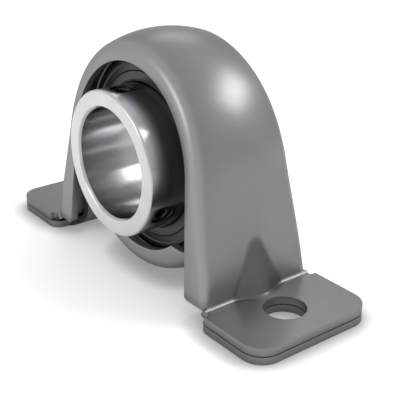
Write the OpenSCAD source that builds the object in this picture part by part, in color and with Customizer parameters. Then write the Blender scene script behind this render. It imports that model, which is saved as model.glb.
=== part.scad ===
// Pillow block bearing: a ball bearing insert with a spherical outer ring, held between two
// pressed sheet steel shells that share their two feet. X runs along the feet, Y along the
// shaft with the long side of the inner ring at -Y, and Z is up from the mounting surface.

/* [Bearing] */
// Shaft bore diameter
bore_d = 30; // [28:0.5:31]
// Wall of the inner ring beside the raceway
ring_wall = 4.85; // [4.6:0.05:5.2]
// Space between the two rings beside the raceways
land_gap = 6.3; // [6.1:0.05:6.5]
// Wall of the outer ring beside the raceway, at the middle of its width
outer_wall = 4.85; // [4.6:0.05:5.2]
// Width of the outer ring
outer_w = 18; // [17.4:0.1:18.6]
// How far the long end of the inner ring stands out in front of the outer ring
front_reach = 12; // [10:0.1:14]
// How far its short end stands out behind the outer ring
rear_reach = 0.2; // [0.1:0.1:2]
// Ball diameter
ball_d = 9.525; // [9.2:0.025:9.8]
// How far each seal's seat is let into the outer ring
seal_bite = 1.15; // [0.9:0.05:1.4]
// Chamfer at both ends of the bore
bore_chamfer = 0.7; // [0.3:0.1:1.2]
// Rounding-off of the inner ring's outer edges
rim_chamfer = 0.4; // [0.2:0.1:0.8]

/* [Set screws] */
// Thread diameter of the two set screws
screw_d = 6; // [5:0.5:7]
// How far the screws' outer ends lie below the inner ring's outside
screw_sink = 0.55; // [0.2:0.05:1]
// Across flats of the hexagon socket
screw_hex = 3; // [2.5:0.5:3.5]
// From the long end of the inner ring to the screws' centre line
screw_inset = 5; // [4:0.1:6]
// Angle between the two screws
screw_spread = 120; // [90:5:150]

/* [Shells] */
// Sheet thickness of both shells
sheet = 2.2; // [1.8:0.1:2.4]
// Length over both feet
foot_span = 119; // [115:1:128]
// Width of the feet
foot_w = 38; // [37:0.5:42]
// Radius of the feet's outer corners
foot_corner = 6; // [3:0.5:9]
// Distance between the two mounting holes
hole_spacing = 95; // [92:0.5:98]
// Diameter of the mounting holes
hole_d = 11.2; // [9:0.1:12]
// Space beside the outer ring, inside the upper shell's crown
side_gap = 1.6; // [1.2:0.1:2.4]
// How much further out the turned-in edges stand at the base than at the crown
base_spread = 5.2; // [4.6:0.1:5.6]
// How far the turned-in edges reach in beside the outer ring
edge_reach = 4.7; // [3.6:0.1:6]
// Lean of the legs' outer faces
leg_splay = 7; // [5:0.5:9]
// Lean of the legs' turned-in edges
edge_splay = 4.6; // [3.6:0.1:5]
// Outer rounding between web and turned-in edge at the crown
crown_round = 3.6; // [2.8:0.1:4]
// The same rounding at the feet
leg_round = 2.4; // [2.2:0.1:3]
// Inside radius of the upper shell's bend at the feet
foot_bend = 1; // [0.8:0.1:1.8]
// Height of the stiffening dart in each bend, above the base
dart_top = 18; // [13:0.5:20]
// How far each dart reaches out over its foot
dart_reach = 3; // [2:0.1:3.6]
// Half the width of each dart
dart_half_w = 9; // [7:0.5:11]
// How softly each dart runs out on its foot
dart_blend = 1.8; // [0.6:0.1:2.2]
// Radius of the relief notch where each foot widens
relief_r = 0.9; // [0.6:0.1:1.6]

/* [Lower shell] */
// Space beside the outer ring, inside the cradle
cradle_gap = 1.7; // [1.4:0.1:2]
// How far the cradle's turned-in edges reach in beside the outer ring
cradle_reach = 5.2; // [4:0.1:6]
// Height of the straight top of the cradle's turned-in edges
cradle_top = 13.5; // [12:0.5:14]
// Width of the wall that climbs to the cradle inside each leg
wall_w = 18.8; // [16:0.2:21]
// Inside radius of the lower shell's bend at the feet
wall_bend = 1.5; // [1.2:0.1:2]
// Inside radius of the fold from that wall into the cradle
fold_r = 2.1; // [1.8:0.1:2.4]
// Gap under the lowest point of the cradle
cradle_lift = 0.1; // [0:0.1:1]

/* [Fits] */
// Gap between the two shells' feet
seam = 0.16; // [0.04:0.02:0.3]
// Gap between the lower shell's walls and the legs
nest_gap = 0.3; // [0.2:0.05:0.6]
// Running clearance of the spherical seat
seat_gap = 0.08; // [0.06:0.01:0.1]
// Running clearance of the balls in each raceway
ball_gap = 0.01; // [0.01:0.01:0.03]
// Running clearance of the seal lips on the inner ring
lip_gap = 0.03; // [0.02:0.01:0.08]
// Clearance of each seal plate in its seat and round its lip
plate_gap = 0.02; // [0.01:0.01:0.05]
// Clearance of a set screw in its thread
thread_gap = 0.05; // [0.02:0.01:0.08]
// Clearance of the balls in the cage's pockets
pocket_gap = 0.15; // [0.1:0.05:0.25]
// Gap between set screw point and shaft
screw_lift = 0.2; // [0.1:0.05:0.4]

/* [Hidden] */
BALLS = 9;

$fn = 96;
EPS = 0.01;

zinc = [0.52, 0.53, 0.53];
bearing_steel = [0.75, 0.76, 0.78];
black_rubber = [0.08, 0.08, 0.08];
seal_steel = [0.20, 0.20, 0.21];
black_oxide = [0.10, 0.10, 0.11];
cage_nylon = [0.80, 0.77, 0.68];

land_d = bore_d + 2 * ring_wall;         // outside of the inner ring
pitch_d = land_d + land_gap;             // circle that the balls' centres run on
outer_land_d = land_d + 2 * land_gap;    // inside of the outer ring
bearing_d = outer_land_d + 2 * outer_wall;   // ball that the outer ring is a slice of
seal_seat_d = outer_land_d + 2 * seal_bite;
ring_front = outer_w / 2 + front_reach;  // from the middle of the balls to the long end
ring_rear = outer_w / 2 + rear_reach;    // and to the short end
screw_len = ring_wall - screw_lift - screw_sink;

opening_r = bearing_d / 2 - edge_reach;  // round opening in the upper shell's edges
cradle_opening_r = bearing_d / 2 - cradle_reach;
crown_w = outer_w + 2 * (side_gap + sheet);
cradle_w = outer_w + 2 * (cradle_gap + sheet);
base_w = crown_w + 2 * base_spread;

seat_r = bearing_d / 2 + seat_gap;      // inside of both shells around the bearing
skin_r = seat_r + sheet;                // outside of both shells around the bearing
axis_z = cradle_lift + skin_r;          // height of the shaft axis
crown_z = axis_z + skin_r;
foot_top = 2 * sheet + seam;
upper_bottom = sheet + seam;

// A piece drawn along +Z is turned so that +Z becomes the front, -Y, on the shaft axis.
module on_shaft() { translate([0, 0, axis_z]) rotate([90, 0, 0]) children(); }
module both_feet() { children(); mirror([1, 0, 0]) children(); }
module both_sides() { children(); mirror([0, 1, 0]) children(); }
// A flat outline in X and Z is drawn out along Y, centred on the shells' middle.
module across(width) { rotate([90, 0, 0]) linear_extrude(height = width, center = true) children(); }

function smooth(t) = let (c = min(1, max(0, t))) c * c * (3 - 2 * c);

// Upper shell. The sheet follows a line in along one foot, up the leg, round the shaft and
// down the other side. At each station along that line stands half a section: a crowned web,
// an outer rounding and a turned-in edge. Towards the foot the crown goes flat, the edge runs
// out in the bend, and the section ends as the flat strip of the foot.

// Half the width over the turned-in edges at height z, whose faces lean together upwards.
function half_w(z) = (base_w + (crown_w - base_w) * z / crown_z) / 2;
function edge_round(z) = leg_round + (crown_round - leg_round) * z / crown_z;
// Share of the bearing's own roundness that the web has across its width at height z.
flat_z = 8;
full_z = axis_z + seat_r * 0.55;
function crown_share(z) = smooth((z - flat_z) / (full_z - flat_z));
FLAT = 0.00002;

bend_z = foot_top + foot_bend;
bend_x = (skin_r + foot_bend + (axis_z - bend_z) * sin(leg_splay)) / cos(leg_splay);
// Length of the straight stretch of web between the arch and the bend.
leg_len = (bend_x - skin_r * cos(leg_splay)) * sin(leg_splay)
        - (bend_z - axis_z - skin_r * sin(leg_splay)) * cos(leg_splay);

ARCH_STEPS = 34;
LEG_STEPS = 9;
BEND_STEPS = 7;
CORNER_STEPS = 6;
CROWN_STEPS = 8;
ROUND_STEPS = 4;

// The turned-in edges end level with the top of the feet.
function depth_to_end(z, a) = (z - foot_top) / sin(a);

// A half section is a list of [y, depth below the web's middle, angle of the sheet's normal].
// This one has a crown of radius 1 / bow, a rounding of radius r that ends at the angle
// turn, half a width of w there, and an edge that ends at [end_y, end_d].
TIP = 0.3;            // shortest edge that is left where it has run out
function half_section(bow, r, turn, w, end_y, end_d) =
    let (crown_r = 1 / max(bow, FLAT),
         big_r = turn > 1 ? max(r, 1 / (turn * PI / 180)) : 0,
         mid_y = w - (turn > 1 ? big_r * sin(turn) : 1),
         tilt = turn > 1 ? asin(mid_y / (crown_r - big_r)) : 0,
         mid_d = turn > 1 ? crown_r - (crown_r - big_r) * cos(tilt) : 0)
    concat(
        [for (i = [0:CROWN_STEPS]) turn > 1
            ? [crown_r * sin(tilt * i / CROWN_STEPS), crown_r * (1 - cos(tilt * i / CROWN_STEPS)),
               tilt * i / CROWN_STEPS]
            : [mid_y * i / CROWN_STEPS, 0, 0]],
        [for (i = [1:ROUND_STEPS]) let (a = tilt + (turn - tilt) * i / ROUND_STEPS) turn > 1
            ? [mid_y + big_r * sin(a), mid_d - big_r * cos(a), a]
            : [mid_y + i / ROUND_STEPS, 0, 0]],
        [[end_y, end_d, turn]]);

// A station is [x, z, angle of the outward normal, half section].
function edged(x, z, a, full_d) =
    let (d = min(full_d, depth_to_end(z, a)), r = edge_round(z))
    [x, z, a, half_section(crown_share(z) / skin_r, r, 90, half_w(z - r * sin(a)),
                           half_w(z - d * sin(a)), d)];
function arch_station(a) = a > 90 ? mirrored(arch_station(180 - a))
    : edged(skin_r * cos(a), axis_z + skin_r * sin(a), a, skin_r - opening_r);
function leg_station(u) = edged(
    skin_r * cos(leg_splay) + u * sin(leg_splay),
    axis_z + skin_r * sin(leg_splay) - u * cos(leg_splay),
    leg_splay,
    skin_r + u * tan(leg_splay - edge_splay) - opening_r / cos(leg_splay - edge_splay));
// Round the bend the edge gets shorter from k = 0 at the leg to k = 1 at the foot.
strap_w = base_w - 1.6;
function bend_station(k) =
    let (a = leg_splay + (90 - leg_splay) * k,
         x = bend_x - foot_bend * cos(a), z = bend_z - foot_bend * sin(a),
         d = depth_to_end(z, a) * (1 - k),
         turn = acos(min(1, max(0, 1 - (d - TIP) / leg_round))),
         w = half_w(z) + (strap_w / 2 - TIP - half_w(z)) * k)
    [x, z, a, turn > 89
        ? half_section(0, leg_round, 90, w, w, d)
        : let (r = turn > 1 ? max(leg_round, 1 / (turn * PI / 180)) : 0)
            half_section(0, leg_round, turn, w, w + TIP * cos(turn),
                         r * (1 - cos(turn)) + TIP * sin(turn))];
function foot_station(x, w) = [x, foot_top, 90, half_section(0, 0, 0, w - TIP, w, 0)];

// Where a line beside a leg, at distance r from the shaft, stands at height z.
function leg_x(r, z) = (r + (axis_z - z) * sin(leg_splay)) / cos(leg_splay);
dart_foot_x = leg_x(skin_r, foot_top) + dart_reach;

widen_x = bend_x + relief_r + 0.05;      // where the foot gets its full width
fade_x = max(dart_foot_x + 1.2 * dart_blend, widen_x + 0.5);   // where the dart has run out
DART_STEPS = 6;
corner_x = foot_span / 2 - foot_corner;
right_side = concat(
    [for (i = [CORNER_STEPS:-1:0]) let (a = 90 * i / CORNER_STEPS)
        foot_station(corner_x + foot_corner * sin(a), foot_w / 2 - foot_corner * (1 - cos(a)))],
    [for (i = [0:DART_STEPS]) foot_station(fade_x + (widen_x - fade_x) * i / DART_STEPS, foot_w / 2)],
    [for (a = [90, 60, 30]) foot_station(bend_x + relief_r * sin(a),
                                         strap_w / 2 + relief_r * (1 - cos(a)))],
    [for (i = [BEND_STEPS:-1:1]) bend_station(i / BEND_STEPS)],
    [for (i = [0:LEG_STEPS - 1]) leg_station(leg_len * pow(1 - i / LEG_STEPS, 1.3))]);
arch = [for (i = [0:ARCH_STEPS]) arch_station(leg_splay + (180 - 2 * leg_splay) * i / ARCH_STEPS)];
function mirrored(s) = [-s[0], s[1], 180 - s[2], s[3]];
left_side = [for (i = [len(right_side) - 1:-1:0]) mirrored(right_side[i])];

// The closed section: the outer line from rear edge to front edge, then the inner line back.
// Each point is [y, depth, how far it lies below the sheet's outer face].
function section(h) =
    let (last = len(h) - 1,
         outer = [for (p = h) [p[0], p[1], 0]],
         inner = [for (p = h) [p[0] - sheet * sin(p[2]), p[1] + sheet * cos(p[2]), sheet]])
    concat([for (i = [last:-1:1]) behind(outer[i])], outer,
           [for (i = [last:-1:0]) inner[i]], [for (i = [1:last]) behind(inner[i])]);
function behind(p) = [-p[0], p[1], p[2]];
// A section point put in place at its station.
function placed(s, p) = let (x = s[0] - p[1] * cos(s[2]), z = s[1] - p[1] * sin(s[2]))
    x > 0 ? darted([x, p[0], z], p[2]) : let (q = darted([-x, p[0], z], p[2])) [-q[0], q[1], q[2]];

// The dart fills the corner up to a slanting face from the web to the foot. The face comes
// forward from the corner along dart_n, and away from the middle it falls back in a bell curve.
// On the foot it runs out softly, within the distance soft of the crease.
dart_rise = [leg_x(skin_r, dart_top) - dart_foot_x, dart_top - foot_top];
dart_n = [dart_rise[1], -dart_rise[0]] / norm(dart_rise);
dart_corner = dart_n * [leg_x(skin_r, foot_top), foot_top];
dart_face = dart_n * [dart_foot_x, foot_top];
function darted(p, below) =
    let (share = abs(p[1]) < dart_half_w && p[2] < dart_top + 1
             ? pow(cos(90 * p[1] / dart_half_w), 2) : 0,
         soft = 0.01 + dart_blend * share * (1 - smooth((p[2] + below - foot_top) / 4)),
         gap = dart_corner + (dart_face - dart_corner) * share - below - dart_n * [p[0], p[2]],
         push = gap > soft ? gap : gap < -soft ? 0 : pow(gap + soft, 2) / (4 * soft))
    share > 0 ? [p[0] + push * dart_n[0], p[1], p[2] + push * dart_n[1]] : p;

module swept(path) {
    rings = [for (s = path) [for (p = section(s[3])) placed(s, p)]];
    n = len(rings[0]);
    half = n / 2;
    points = [for (r = rings) for (p = r) p];
    sides = [for (k = [0:len(path) - 2]) for (i = [0:n - 1])
        let (a = k * n + i, b = k * n + (i + 1) % n) each [[a, b, b + n], [a, b + n, a + n]]];
    // Each end is a strip between the outer and the inner line.
    function cap(first) = [for (i = [0:half - 2])
        let (a = first + i, b = first + i + 1, c = first + n - 2 - i, d = first + n - 1 - i)
        each [[a, c, b], [a, d, c]]];
    function turned(faces) = [for (f = faces) [f[2], f[1], f[0]]];
    polyhedron(points, concat(sides, cap(0), turned(cap((len(path) - 1) * n))));
}

module mounting_holes() {
    both_feet() translate([hole_spacing / 2, 0, -1]) cylinder(d = hole_d, h = foot_top + 2);
}

module upper_shell() {
    color(zinc) difference() {
        swept(concat(right_side, arch, left_side));
        mounting_holes();
    }
}

// Lower shell. From each foot the sheet bends up inside the leg, folds over and runs down
// into a cradle that follows the outer ring and has turned-in edges of its own.
wall_r = seat_r - nest_gap;              // distance of the wall's outer face from the axis
wall_z = sheet + wall_bend;
wall_x = leg_x(wall_r + wall_bend, wall_z);
// The fold's centre lies between the wall and the cradle's outside.
fold_out = wall_r - sheet - fold_r;      // across the wall
fold_down = sqrt((skin_r + fold_r) * (skin_r + fold_r) - fold_out * fold_out);
fold_x = fold_out * cos(leg_splay) + fold_down * sin(leg_splay);
fold_z = axis_z + fold_out * sin(leg_splay) - fold_down * cos(leg_splay);
fold_a = atan((axis_z - fold_z) / fold_x);   // of the fold's place below the shaft

// The strap's outline is one run of sheet: its upper and lower faces as lists of points.
BEND_FACETS = 8;
function bow(x, z, r, from, to) = [for (i = [0:BEND_FACETS])
    let (a = from + (to - from) * i / BEND_FACETS) [x + r * cos(a), z + r * sin(a)]];
landing_a = 12;          // how far the strap follows the cradle below the fold
module lower_strap_outline() {
    fold_end = 180 - fold_a;
    land_out = skin_r - 0.1;   // the landing is a little thinner than the cradle's own sheet
    land_in = seat_r + 0.15;
    polygon(concat(
        [[foot_span / 2, 0], [foot_span / 2, sheet]],
        bow(wall_x, wall_z, wall_bend, 270, 180 + leg_splay),
        bow(fold_x, fold_z, fold_r + sheet, leg_splay, fold_end),
        bow(0, axis_z, land_in, -fold_a, -fold_a - landing_a),
        bow(0, axis_z, land_out, -fold_a - landing_a, -fold_a),
        bow(fold_x, fold_z, fold_r, fold_end, leg_splay),
        bow(wall_x, wall_z, wall_bend + sheet, 180 + leg_splay, 270)));
}

notch_r = 5;             // round notch where the strap narrows to the wall
corner_r = 3.5;          // inner corners of the lower feet
module outer_corners() {
    both_sides() translate([corner_x, foot_w / 2 - foot_corner]) difference() {
        square(foot_corner + 1);
        circle(foot_corner);
    }
}
module lower_strap() {
    notch_y = wall_w / 2 + notch_r;
    difference() {
        across(foot_w) lower_strap_outline();
        both_sides() {
            translate([0, wall_w / 2, notch_r]) cube([wall_x, foot_w, axis_z]);
            translate([0, notch_y, -1]) cube([wall_x, foot_w, axis_z]);
            translate([0, notch_y, notch_r]) rotate([0, 90, 0]) cylinder(r = notch_r, h = wall_x);
            translate([wall_x, foot_w / 2 - corner_r, -1]) linear_extrude(height = sheet + 2)
                translate([corner_r, 0]) difference() {
                    translate([-corner_r - 1, 0]) square([corner_r + 1, corner_r + 1]);
                    circle(corner_r);
                }
        }
        translate([0, 0, -1]) linear_extrude(height = sheet + 2) outer_corners();
    }
}

// Section of the cradle, a slice of a ball with rounded edges, smaller all round by inset.
module cradle_section(inset) {
    round_r = crown_round - inset;
    edge_y = cradle_w / 2 - inset;
    mid_y = edge_y - round_r;
    ball_r = skin_r - inset;
    tilt = asin(mid_y / (ball_r - round_r));
    mid_r = (ball_r - round_r) * cos(tilt);
    intersection() {
        circle(ball_r);
        translate([0, -ball_r * sin(tilt)]) square([ball_r, 2 * ball_r * sin(tilt)]);
    }
    translate([0, -edge_y]) square([mid_r, 2 * edge_y]);
    for (side = [-1, 1]) translate([mid_r, side * mid_y]) circle(round_r);
}
module cradle() {
    intersection() {
        on_shaft() rotate_extrude() difference() {
            cradle_section(0);
            cradle_section(sheet);
            translate([-1, -foot_w / 2]) square([cradle_opening_r + 1, foot_w]);
        }
        translate([-foot_span / 2, -foot_w / 2, -1]) cube([foot_span, foot_w, cradle_top + 1]);
    }
}

module lower_shell() {
    color(zinc) difference() {
        union() {
            cradle();
            both_feet() lower_strap();
        }
        mounting_holes();
    }
}

// Bearing. The raceways are grooves a little wider than the balls.
groove_r = ball_d * 0.52;
inner_groove_at = (pitch_d - ball_d) / 2 - ball_gap + groove_r;
outer_groove_at = (pitch_d + ball_d) / 2 + ball_gap - groove_r;
ring_len = ring_front + ring_rear;
seal_w = 1.5;                            // depth of each seal's seat
seal_y = outer_w / 2 - seal_w;

module outer_ring() {
    color(bearing_steel) on_shaft() rotate_extrude() difference() {
        intersection() {
            circle(r = bearing_d / 2, $fn = 180);
            translate([outer_land_d / 2, -outer_w / 2]) square([bearing_d, outer_w]);
        }
        translate([outer_groove_at, 0]) circle(groove_r);
        for (side = [-1, 1]) translate([0, side * (seal_y + seal_w / 2) - seal_w / 2])
            translate([0, side < 0 ? -1 : 0]) square([seal_seat_d / 2, seal_w + 1]);
    }
}

module inner_ring() {
    screw_z = ring_front - screw_inset;
    color(bearing_steel) on_shaft() difference() {
        rotate_extrude() difference() {
            polygon([
                [bore_d / 2, -ring_rear + bore_chamfer], [bore_d / 2 + bore_chamfer, -ring_rear],
                [land_d / 2 - rim_chamfer, -ring_rear], [land_d / 2, -ring_rear + rim_chamfer],
                [land_d / 2, ring_front - rim_chamfer], [land_d / 2 - rim_chamfer, ring_front],
                [bore_d / 2 + bore_chamfer, ring_front], [bore_d / 2, ring_front - bore_chamfer]]);
            translate([inner_groove_at, 0]) circle(groove_r);
        }
        for (a = screw_angles) rotate(a) translate([0, 0, screw_z]) rotate([0, 90, 0])
            cylinder(d = screw_d, h = land_d);
    }
}
screw_angles = [90, 90 - screw_spread];

// A ball's place on the pitch circle, the first one at the top.
module ball(i) {
    color(bearing_steel) on_shaft() rotate(90 + (i - 1) * 360 / BALLS)
        translate([pitch_d / 2, 0, 0]) sphere(d = ball_d);
}

// Snap cage: a ring behind the balls with open pockets and pairs of horns between them.
cage_in = land_d / 2 + 1.4;
cage_out = outer_land_d / 2 - 1.4;
cage_rear = ball_d / 2 + 1.1;
cage_front = 2.3;
horn_gap = 1.8;
horn_depth = 2.6;
module ball_cage() {
    color(cage_nylon) on_shaft() difference() {
        translate([0, 0, -cage_rear]) cylinder(r = cage_out, h = cage_rear + cage_front);
        translate([0, 0, -cage_rear - 1]) cylinder(r = cage_in, h = cage_rear + cage_front + 2);
        for (i = [0:BALLS - 1]) rotate(90 + i * 360 / BALLS) {
            translate([pitch_d / 2, 0, 0]) sphere(d = ball_d + 2 * pocket_gap);
            rotate(180 / BALLS) translate([cage_in - 1, -horn_gap / 2, cage_front - horn_depth])
                cube([cage_out - cage_in + 2, horn_gap, horn_depth + 1]);
        }
    }
}

// Seals. A stamped steel plate sits in the outer ring, and a rubber lip bonded to its inner
// side runs on the inner ring. Drawn for the front, and mirrored for the rear.
plate_t = 0.6;
lip_t = seal_w - plate_t;
module seal_side(front) { on_shaft() mirror([0, 0, front ? 0 : 1]) children(); }
groove_in = 2.4;                         // the plate's rolled groove, from its inner edge
groove_out = 2.5;                        // and from its seat
module seal_plate(front) {
    seat = seal_seat_d / 2 - plate_gap;
    inner = land_d / 2 + 0.7 + plate_gap;
    top = seal_y + seal_w;
    color(seal_steel) seal_side(front) rotate_extrude() polygon([
        [inner, seal_y + lip_t], [seat - 1.2, seal_y + lip_t], [seat - 0.8, seal_y + lip_t - 0.3],
        [seat, seal_y + lip_t - 0.3], [seat, top - 0.3], [seat - 1.0, top - 0.3],
        [seat - 1.3, top], [seat - groove_out + 0.25, top], [seat - groove_out, top - 0.25],
        [inner + groove_in, top - 0.25], [inner + groove_in - 0.25, top], [inner, top]]);
}
module seal_lip(front) {
    touch = land_d / 2 + lip_gap;
    color(black_rubber) seal_side(front) rotate_extrude() polygon([
        [touch, seal_y + lip_t - 0.5], [touch + 0.35, seal_y + lip_t - 0.8],
        [touch + 1.4, seal_y + lip_t - 0.5], [outer_land_d / 2 - 0.6, seal_y + lip_t - 0.5],
        [outer_land_d / 2 - 0.6, seal_y + lip_t], [land_d / 2 + 0.7, seal_y + lip_t],
        [land_d / 2 + 0.7, seal_y + seal_w - 0.1], [touch + 0.3, seal_y + seal_w - 0.1],
        [touch, seal_y + seal_w - 0.5]]);
}

// Set screw with a cup point and a hexagon socket, standing clear of the shaft.
module set_screw(a) {
    point_r = bore_d / 2 + screw_lift;
    body_d = screw_d - 2 * thread_gap;
    color(black_oxide) on_shaft() rotate(a) translate([0, 0, ring_front - screw_inset])
        rotate([0, 90, 0]) translate([0, 0, point_r]) difference() {
            rotate_extrude() polygon([
                [0, 0.5], [body_d / 4, 0], [body_d / 4 + 0.2, 0], [body_d / 2, 0.8],
                [body_d / 2, screw_len - 0.4], [body_d / 2 - 0.4, screw_len], [0, screw_len]]);
            translate([0, 0, screw_len - 2]) cylinder(d = screw_hex / cos(30), h = 3, $fn = 6);
        }
}

upper_shell();
lower_shell();
outer_ring();
inner_ring();
ball_cage();
for (i = [1:BALLS]) ball(i);
seal_plate(true);  // seal_plate_front
seal_plate(false);  // seal_plate_rear
seal_lip(true);  // seal_lip_front
seal_lip(false);  // seal_lip_rear
set_screw(screw_angles[0]);  // set_screw_top
set_screw(screw_angles[1]);  // set_screw_side
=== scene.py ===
"""Looks of a pressed steel pillow block bearing: shells, rings, seals, set screws, balls and cage."""

import bmesh
import bpy
import numpy as np
from mathutils import Matrix, Vector

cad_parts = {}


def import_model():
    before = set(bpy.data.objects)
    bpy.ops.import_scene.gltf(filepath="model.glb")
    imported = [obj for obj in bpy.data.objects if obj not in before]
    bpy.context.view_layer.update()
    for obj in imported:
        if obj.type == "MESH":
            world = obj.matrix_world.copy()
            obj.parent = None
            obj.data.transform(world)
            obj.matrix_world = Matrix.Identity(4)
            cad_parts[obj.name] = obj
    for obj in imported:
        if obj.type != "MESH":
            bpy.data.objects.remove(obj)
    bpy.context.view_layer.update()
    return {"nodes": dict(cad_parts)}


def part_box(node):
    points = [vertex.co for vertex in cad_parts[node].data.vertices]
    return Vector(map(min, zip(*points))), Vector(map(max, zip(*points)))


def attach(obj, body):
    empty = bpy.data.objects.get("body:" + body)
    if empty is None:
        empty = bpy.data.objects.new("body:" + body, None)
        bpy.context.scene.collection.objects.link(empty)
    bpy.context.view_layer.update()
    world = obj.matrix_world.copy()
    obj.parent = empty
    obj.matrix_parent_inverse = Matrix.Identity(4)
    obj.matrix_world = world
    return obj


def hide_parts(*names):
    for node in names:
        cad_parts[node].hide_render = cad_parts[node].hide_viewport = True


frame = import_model()

MM = 0.001

# Sizes of the sheet metal, in metres

SHEET = 2.2 * MM
SEAM = 0.16 * MM                            # gap between the two shells' feet
FOOT_TOP = 2 * SHEET + SEAM
SEAT_R = 31.08 * MM                         # inside of both shells round the bearing
SKIN_R = SEAT_R + SHEET
FOOT_END, FOOT_HALF_W, CROWN_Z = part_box("upper_shell")[1]    # its corner at +X, +Y, +Z
AXIS_Z = CROWN_Z - SKIN_R
FOOT_CORNER = 6 * MM
HOLE_X, HOLE_R = 47.5 * MM, 5.6 * MM

# Upper shell
BASE_W, CROWN_W = 36 * MM, 25.6 * MM
OPENING_R = 26.3 * MM                       # inner edge of the turned-in rim round the bearing
LEG_SPLAY, EDGE_SPLAY = np.radians(7), np.radians(4.6)
CROWN_ROUND, LEG_ROUND = 3.6 * MM, 2.4 * MM
FLAT_Z = 8 * MM                             # up to this height the web is flat
BOWED_Z = AXIS_Z + SEAT_R * 0.55            # and from this height it is fully bowed
FOOT_BEND = 1 * MM
NECK_W = BASE_W - 1.6 * MM                  # width between the relief notches
RELIEF_R = 0.9 * MM
RELIEF_LAND = 0.05 * MM                     # from each notch to the foot's full width
DART_TOP, DART_REACH, DART_HALF_W = 18 * MM, 3 * MM, 9 * MM
DART_BLEND, DART_LEAST_BLEND = 3.6 * MM, 0.1 * MM
UPPER_BREAK = 0.22 * MM                     # width of the broken edges

# Lower shell
WALL_W, WALL_BEND, FOLD_R = 18.8 * MM, 1.5 * MM, 2.1 * MM
NEST_GAP = 0.3 * MM                         # between its walls and the legs
NARROW_R, WALL_FLARE = 3.5 * MM, 5 * MM     # corner where the foot ends, and flare at the wall's base
SEAM_RELIEF = 0.12 * MM                     # its feet's tops are drawn lower by this, so the seam shows
TAIL_R = (SEAT_R + 0.15 * MM, SKIN_R - 0.1 * MM)    # faces of each strap's end, inside the cradle's sheet
TAIL_TURN = np.radians(12)
CRADLE_TOP, CRADLE_W, CRADLE_OPENING_R = 13.5 * MM, 25.8 * MM, 25.8 * MM
CRADLE_PAINTED_LIGHT_Y = 10 * MM                   # from here to the edge the cradle is lightened as a painted reflection
LOWER_BREAK = 0.2 * MM

# Sizes of the bearing

BORE_R, LAND_R = 15 * MM, 19.85 * MM        # inside and outside of the inner ring
RING_FRONT, RING_REAR = -21 * MM, 9.2 * MM
BORE_CHAMFER, FRONT_RIM, REAR_RIM = 0.7 * MM, 0.45 * MM, 0.4 * MM
OUTER_R, OUTER_HALF_W = 31 * MM, 9 * MM
OUTER_RIM, RIM_FLAT = 0.5 * MM, 0.35 * MM   # how far the corners of the outer ring are cut back
OUTER_LAND_R, SEAL_SEAT_R, SEAL_DEPTH = 26.15 * MM, 27.3 * MM, 1.5 * MM
BALLS, BALL_R, PITCH_R, BALL_GAP = 9, 4.7625 * MM, 23 * MM, 0.01 * MM
GROOVE_R = BALL_R * 1.04
PLATE_T, PLATE_GAP, GROOVE_DEPTH = 0.6 * MM, 0.02 * MM, 0.28 * MM
LIP_WALL, LIP_GAP, LIP_SINK = 0.7 * MM, 0.03 * MM, 0.1 * MM
SCREW_R, SCREW_LEN, SCREW_Y = 3 * MM, 4.1 * MM, -16 * MM
SCREW_LIFT, THREAD_GAP = 0.2 * MM, 0.05 * MM
THREAD_PITCH, THREAD_DEPTH = 0.75 * MM, 0.32 * MM
SOCKET_FLATS, SOCKET_DEPTH = 3 * MM, 2 * MM
HOLE_MOUTH = 0.14 * MM                      # chamfer at the mouth of each screw hole
SCREW_ANGLES = {"set_screw_top": 90, "set_screw_side": -30}

# How finely things are drawn

CROWN_STEPS, ROUND_STEPS = 26, 8            # points across the web, and round each fillet
CORNER_STEPS, FOOT_STEPS, NOTCH_STEPS = 13, 48, 7
BEND_STEPS, LEG_STEPS, ARCH_STEPS, CRADLE_STEPS = 26, 56, 49, 121
STRAP_CORNER_STEPS, STRAP_FLAT_STEPS, NARROW_STEPS, WALL_STEPS = 12, 8, 9, 8
SWEEP_STEPS, FOLD_STEPS = 14, 20
RING_SIDES, OUTER_STEPS, GROOVE_STEPS, THREAD_STEPS = 256, 33, 17, 45


# Mesh helpers


def smooth(t):
    """A soft step from 0 at t = 0 to 1 at t = 1."""
    t = np.clip(t, 0, 1)
    return t * t * (3 - 2 * t)


def new_object(name, verts, faces):
    mesh = bpy.data.meshes.new(name)
    mesh.from_pydata([tuple(map(float, v)) for v in verts], [], faces)
    mesh.update()
    obj = bpy.data.objects.new(name, mesh)
    bpy.context.scene.collection.objects.link(obj)
    bm = bmesh.new()
    bm.from_mesh(mesh)
    bmesh.ops.recalc_face_normals(bm, faces=bm.faces)
    bm.to_mesh(mesh)
    bm.free()
    return obj


def strips(rows, n, around=False):
    """Faces between each ring of n points and the next, and from the last to the first if around."""
    return [[k * n + i, k * n + (i + 1) % n, (k + 1) % rows * n + (i + 1) % n, (k + 1) % rows * n + i]
            for k in range(rows if around else rows - 1) for i in range(n)]


def sheet_ends(rows, n):
    """Faces that close the first and the last ring, where each is the section of a sheet."""
    return [[first + i, first + i + 1, first + n - 2 - i, first + n - 1 - i]
            for first in (0, (rows - 1) * n) for i in range(n // 2 - 1)]


def round_ends(rows, n):
    last = (rows - 1) * n
    return [list(range(n))[::-1], list(range(last, last + n))]


def both_halves(outer, inner):
    """A sheet's closed section from its half at +Y, where each point starts with its y."""
    def mirrored(points):
        return [(-p[0], *p[1:]) for p in points]
    return mirrored(outer[:0:-1]) + outer + inner[::-1] + mirrored(inner[1:])


def bake(obj):
    """Turns the object's modifiers into mesh."""
    graph = bpy.context.evaluated_depsgraph_get()
    mesh = bpy.data.meshes.new_from_object(obj.evaluated_get(graph))
    obj.modifiers.clear()
    obj.data = mesh


def shade(obj, angle):
    """Smooth shading, with edges sharper than the angle left sharp."""
    for p in obj.data.polygons:
        p.use_smooth = True
    obj.data.set_sharp_from_angle(angle=np.radians(angle))


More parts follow.
